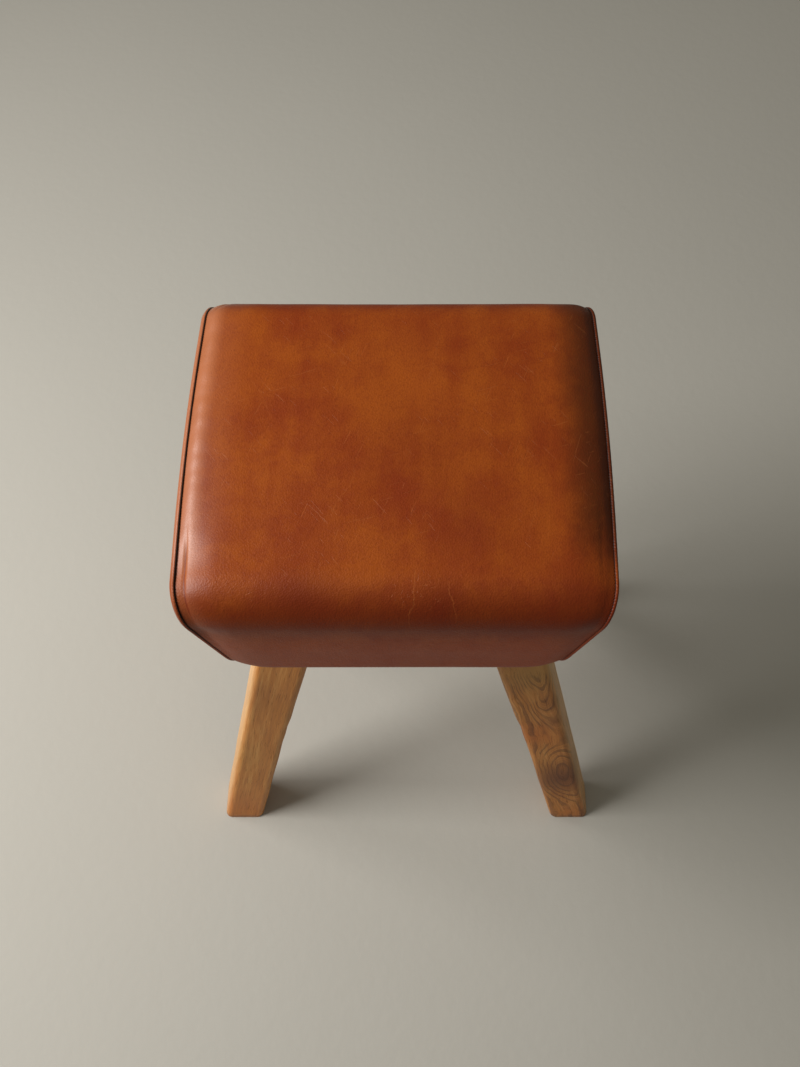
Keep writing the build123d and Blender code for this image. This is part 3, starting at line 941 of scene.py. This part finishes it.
def wrapped_cord(side, steps, around):
    """The wrapped cord along one end seam: a grid rolled up along the seam and closed at both tails."""
    cord, layer = new_grid(steps, around)
    where = {}
    line = side_line(1, 0, closed=True)
    length = measured(line)
    first = seat_depth / 2 - end_draw_in - face_taper - seam_bottom_radius - piping_tail
    last = length[-1] - first
    for vert in cord.verts:
        along = first + (last - first) * (vert.co.x * 0.5 + 0.5)
        turn = vert.co.y * math.pi
        across, up = point_at(along, line, length)
        outward = outward_at(along, line, length)
        radius = piping_radius * (1 + piping_waver * noise.noise(Vector((along * wavers, side * 3, 0))))
        off = piping_proud + radius * math.cos(turn)
        out = piping_out + radius * math.sin(turn)
        spot = in_room(1, across + outward.x * off, up + outward.y * off, out)
        vert.co = (side * spot.x, spot.y, spot.z)
        where[vert] = (side * (piping_laid + inner_laid * max(0, -math.sin(turn))), along)
    lay_texture(cord, layer, where)
    bmesh.ops.remove_doubles(cord, verts=cord.verts, dist=cord_merge_distance)
    bmesh.ops.holes_fill(cord, edges=[edge for edge in cord.edges if edge.is_boundary], sides=around + 2)
    bmesh.ops.recalc_face_normals(cord, faces=cord.faces)
    return cord


piping_finish = cognac_leather("piping_leather")
for name, side in (("left", -1), ("right", 1)):
    cord = wrapped_cord(side, 520, 16)
    add_piece(name + "_piping_cord", cord, piping_finish, name + "_piping", slot="piping_leather")


# The dust cover
# Black woven cloth stapled over the leather's turned-under edges, notched round the legs.
# It closes the underside and keeps dust out of the core.
cloth_half_size = (0.1388, 0.150)
cloth_black, cloth_grey = linear(30, 29, 28), linear(46, 44, 42)
threads = 5200
# The strips that it is shaped in: how wide each is, and how far they reach each way
cloth_strip, strips_reach = 0.004, (0.138, 0.149)
# It sags in the middle, is drawn in between its staples and wrinkles a little
cloth_sag, sag_share = 0.0022, 0.6
cloth_pull, pull_from = 0.00025, 0.80
wrinkle_depth, wrinkle_share, wrinkles_x, wrinkles_y = 0.0005, 0.2, 22, 30
staple_step = 0.026

cloth = Finish("dust_cloth", roughness=0.9)
warp, weft, _ = cloth.split(cloth.place)
weave = (warp * threads).sine() * (weft * threads).sine() * 0.5 + 0.5
cloth.show(cloth.blend(cloth.noise(cloth.place, 40, 3), cloth_black, cloth_grey), None, weave, 0.0002)
cover = merged_copy("dust_cover")
cut_in_strips(cover, [
    (axis, -reach + cloth_strip * k)
    for axis, reach in enumerate(strips_reach)
    for k in range(int(reach / cloth_strip) * 2 + 1)
])
bmesh.ops.recalc_face_normals(cover, faces=cover.faces)
cloth_area = sum(face.calc_area() for face in cover.faces if face.normal.z < -0.9)
for vert in cover.verts:
    x, y, z = vert.co
    edge_x, edge_y = (1 - abs(level) / half for level, half in zip((x, y), cloth_half_size))
    pull = math.cos(x * 2 * math.pi / staple_step) * eased(1 - edge_y, pull_from, 1) * cloth_pull
    pull += math.cos(y * 2 * math.pi / staple_step) * eased(1 - edge_x, pull_from, 1) * cloth_pull
    sag = cloth_sag * eased(edge_x, 0, sag_share) * eased(edge_y, 0, sag_share)
    wrinkle = noise.noise(Vector((x * wrinkles_x, y * wrinkles_y, 3))) * wrinkle_depth
    vert.co.z -= sag + pull + wrinkle * eased(min(edge_x, edge_y), 0, wrinkle_share)
dust_cloth = add_piece("dust_cloth", cover, cloth, "dust_cover", slot="dust_cloth")


# The cloth's staples
# Thin zinc-plated steel wire, pressed through the cloth's edge into the core.
# They stand in a row along each of its four edges, and the legs leave gaps in two of the rows.
staple_row_x, staple_row_y = 0.1345, 0.1455
staple_length, staple_width, staple_height = 0.0100, 0.0011, 0.0007
staple_drop, staple_round = 0.0013, 0.0002
row_between_legs = (-5, -4, -1, 0, 1, 4, 5)
staple_spots = [(staple_step * k, side * staple_row_y, 0) for side in (-1, 1) for k in range(-4, 5)]
staple_spots += [(side * staple_row_x, staple_step * k, 1) for side in (-1, 1) for k in row_between_legs]
staples = bmesh.new()
for x, y, turned in staple_spots:
    for vert in bmesh.ops.create_cube(staples, size=1)["verts"]:
        across, along = vert.co.x * staple_length, vert.co.y * staple_width
        if turned:
            across, along = along, across
        vert.co = (x + across, y + along, underside - staple_drop + vert.co.z * staple_height)
bmesh.ops.bevel(
    staples, geom=staples.edges[:], offset=staple_round, segments=2, profile=0.5, affect="EDGES", material=-1
)
add_piece("cloth_staples", staples, zinc, slot="screw_steel")
